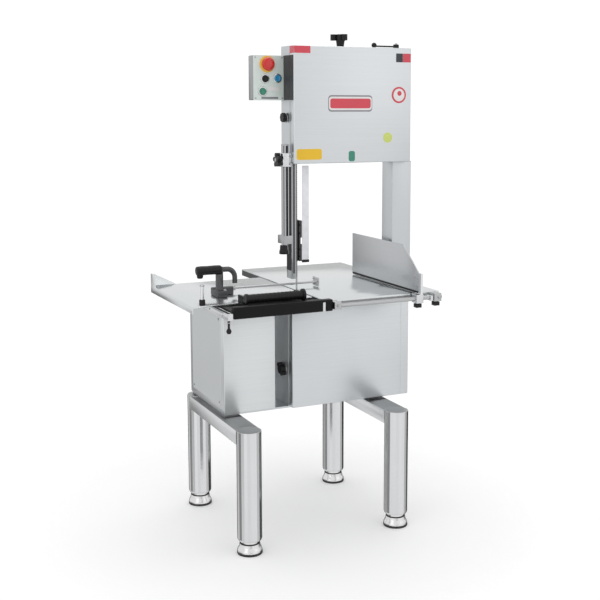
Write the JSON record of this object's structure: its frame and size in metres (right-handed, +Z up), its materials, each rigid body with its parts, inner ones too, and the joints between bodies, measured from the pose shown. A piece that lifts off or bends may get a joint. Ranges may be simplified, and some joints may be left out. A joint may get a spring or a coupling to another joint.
{
  "type": "butcher band saw",
  "caption": "Floor-standing stainless band saw for meat and bone: upper and lower wheel housings, column, sliding table with pusher, portion fence and tubular legs.",
  "frame": {"origin": "on the floor below the middle of the machine's bounding box", "axes": "+X to the operator's right, +Y away from the operator, +Z up"},
  "size_m": [0.924, 0.85, 1.817],
  "materials": {
    "stainless": "brushed stainless sheet",
    "polished_steel": "polished stainless",
    "cast_metal": "machined casting",
    "steel": "plain steel",
    "black_plastic": "black moulded plastic",
    "rubber": "black rubber",
    "white_plastic": "off-white plastic",
    "red_plastic": "red plastic",
    "green_plastic": "green plastic",
    "blue_plastic": "blue plastic"
  },
  "bodies": {
    "frame": {"base_plate": "stainless", "beam_left": "stainless", "beam_right": "stainless", "blade": "steel", "column": "stainless", "control_box": "stainless", "control_panel": "white_plastic", "drive_belt": "rubber", "fixed_table": "stainless", "front_rail": "polished_steel", "guide_clamp": "polished_steel", "head_housing": "stainless", "leg_front_left": "polished_steel", "leg_front_right": "polished_steel", "leg_rear_left": "polished_steel", "leg_rear_right": "polished_steel", "lower_bearing_housing": "cast_metal", "lower_blade_guide": "black_plastic", "lower_housing": "stainless", "motor": "steel", "rear_cover": "stainless", "side_cabinet": "stainless", "slide_bed": "black_plastic", "slide_rail": "polished_steel", "tension_spring": "steel"},
    "foot_front_left_body": {"foot_front_left": "steel"},
    "foot_front_right_body": {"foot_front_right": "steel"},
    "foot_rear_left_body": {"foot_rear_left": "steel"},
    "foot_rear_right_body": {"foot_rear_right": "steel"},
    "lower_door_body": {"lower_door": "stainless"},
    "lower_latch_body": {"lower_latch": "black_plastic"},
    "drive_body": {"lower_wheel": "cast_metal", "drive_shaft": "steel"},
    "motor_rotor_body": {"motor_pulley": "cast_metal"},
    "head_door_body": {"head_door": "stainless"},
    "head_latch_body": {"head_latch": "black_plastic"},
    "carriage_body": {"wheel_carriage": "cast_metal"},
    "upper_wheel_body": {"upper_wheel": "cast_metal"},
    "tension_screw_body": {"tension_knob": "black_plastic"},
    "tension_lever_body": {"tension_lever": "black_plastic"},
    "guide_body": {"upper_blade_guide": "black_plastic", "guide_post": "polished_steel", "guide_bar": "polished_steel", "blade_guard": "white_plastic"},
    "guide_clamp_screw_body": {"guide_clamp_knob": "black_plastic"},
    "emergency_stop_body": {"emergency_stop": "red_plastic"},
    "start_button_body": {"start_button": "green_plastic"},
    "black_button_body": {"black_button": "black_plastic"},
    "blue_button_body": {"blue_button": "blue_plastic"},
    "sliding_table_body": {"sliding_table": "stainless", "table_handle_bracket": "polished_steel", "table_handle_grip": "black_plastic"},
    "table_lock_body": {"table_lock": "black_plastic"},
    "pusher_body": {"pusher_base": "cast_metal", "pusher_grip": "black_plastic", "pusher_rod": "polished_steel"},
    "fence_body": {"fence_plate": "stainless", "fence_carriage": "polished_steel"},
    "fence_knob_body": {"fence_knob": "black_plastic"},
    "rail_knob_body": {"rail_knob": "black_plastic"}
  },
  "joints": [
    {"name": "foot_front_left_height", "type": "slide", "parent": "frame", "child": "foot_front_left_body", "axis": [0, 0, -1], "range_m": [0, 0.03]},
    {"name": "foot_front_right_height", "type": "slide", "parent": "frame", "child": "foot_front_right_body", "axis": [0, 0, -1], "range_m": [0, 0.03]},
    {"name": "foot_rear_left_height", "type": "slide", "parent": "frame", "child": "foot_rear_left_body", "axis": [0, 0, -1], "range_m": [0, 0.03]},
    {"name": "foot_rear_right_height", "type": "slide", "parent": "frame", "child": "foot_rear_right_body", "axis": [0, 0, -1], "range_m": [0, 0.03]},
    {"name": "lower_door_hinge", "type": "hinge", "parent": "frame", "child": "lower_door_body", "pos_m": [0.4415, -0.165, 0.45], "axis": [0, 0, 1], "range_deg": [0, 110]},
    {"name": "lower_latch_turn", "type": "hinge", "parent": "frame", "child": "lower_latch_body", "pos_m": [-0.049, -0.129, 0.585], "axis": [-1, 0, 0], "range_deg": [-90, 0]},
    {"name": "lower_wheel_spin", "type": "hinge", "parent": "frame", "child": "drive_body", "pos_m": [0.191, -0.143, 0.652], "axis": [0, 1, 0], "continuous": true},
    {"name": "motor_spin", "type": "hinge", "parent": "frame", "child": "motor_rotor_body", "pos_m": [0.045, -0.029, 0.545], "axis": [0, 1, 0], "continuous": true},
    {"name": "head_door_hinge", "type": "hinge", "parent": "frame", "child": "head_door_body", "pos_m": [0.4415, -0.165, 1.349], "axis": [0, 0, 1], "range_deg": [0, 110]},
    {"name": "head_latch_turn", "type": "hinge", "parent": "frame", "child": "head_latch_body", "pos_m": [-0.04, -0.13, 1.514], "axis": [-1, 0, 0], "range_deg": [-90, 0]},
    {"name": "tension_slide", "type": "slide", "parent": "frame", "child": "carriage_body", "axis": [0, 0, 1], "range_m": [-0.008, 0]},
    {"name": "upper_wheel_spin", "type": "hinge", "parent": "carriage_body", "child": "upper_wheel_body", "pos_m": [0.191, -0.143, 1.5585], "axis": [0, 1, 0], "continuous": true},
    {"name": "tension_knob_turn", "type": "hinge", "parent": "frame", "child": "tension_screw_body", "pos_m": [0.191, -0.1035, 1.806], "axis": [0, 0, 1], "range_deg": [-720, 0]},
    {"name": "tension_lever_turn", "type": "hinge", "parent": "frame", "child": "tension_lever_body", "pos_m": [0.414, -0.13, 1.7683], "axis": [0, 0, 1], "range_deg": [-90, 0]},
    {"name": "guide_height", "type": "slide", "parent": "frame", "child": "guide_body", "axis": [0, 0, 1], "range_m": [0, 0.24]},
    {"name": "guide_clamp_turn", "type": "hinge", "parent": "frame", "child": "guide_clamp_screw_body", "pos_m": [-0.0875, -0.163, 1.363], "axis": [-1, 0, 0], "range_deg": [0, 360]},
    {"name": "emergency_stop_push", "type": "slide", "parent": "frame", "child": "emergency_stop_body", "axis": [0, 1, 0], "range_m": [0, 0.005], "stiffness_N_per_m": 600, "springref_m": -0.001},
    {"name": "start_button_push", "type": "slide", "parent": "frame", "child": "start_button_body", "axis": [0, 1, 0], "range_m": [0, 0.004], "stiffness_N_per_m": 400, "springref_m": -0.001},
    {"name": "black_button_push", "type": "slide", "parent": "frame", "child": "black_button_body", "axis": [0, 1, 0], "range_m": [0, 0.004], "stiffness_N_per_m": 400, "springref_m": -0.001},
    {"name": "blue_button_push", "type": "slide", "parent": "frame", "child": "blue_button_body", "axis": [0, 1, 0], "range_m": [0, 0.004], "stiffness_N_per_m": 400, "springref_m": -0.001},
    {"name": "table_slide", "type": "slide", "parent": "frame", "child": "sliding_table_body", "axis": [0, 1, 0], "range_m": [0, 0.3]},
    {"name": "table_lock_pull", "type": "slide", "parent": "frame", "child": "table_lock_body", "axis": [0, 0, -1], "range_m": [0, 0.008], "stiffness_N_per_m": 400, "springref_m": -0.003},
    {"name": "pusher_slide", "type": "slide", "parent": "sliding_table_body", "child": "pusher_body", "axis": [1, 0, 0], "range_m": [-0.11, 0]},
    {"name": "fence_slide", "type": "slide", "parent": "frame", "child": "fence_body", "axis": [1, 0, 0], "range_m": [-0.2, 0]},
    {"name": "fence_knob_turn", "type": "hinge", "parent": "fence_body", "child": "fence_knob_body", "pos_m": [0.357, -0.407, 0.838], "axis": [0, 0, 1], "range_deg": [0, 360]},
    {"name": "rail_knob_turn", "type": "hinge", "parent": "frame", "child": "rail_knob_body", "pos_m": [0.433, -0.407, 0.84], "axis": [0, 0, 1], "range_deg": [0, 360]}
  ],
  "couplings": [
    {"joint": "upper_wheel_spin", "follows": "lower_wheel_spin", "ratio": 1},
    {"joint": "motor_spin", "follows": "lower_wheel_spin", "ratio": 1.8333},
    {"joint": "tension_knob_turn", "follows": "tension_slide", "rad_per_m": 1570.8}
  ]
}
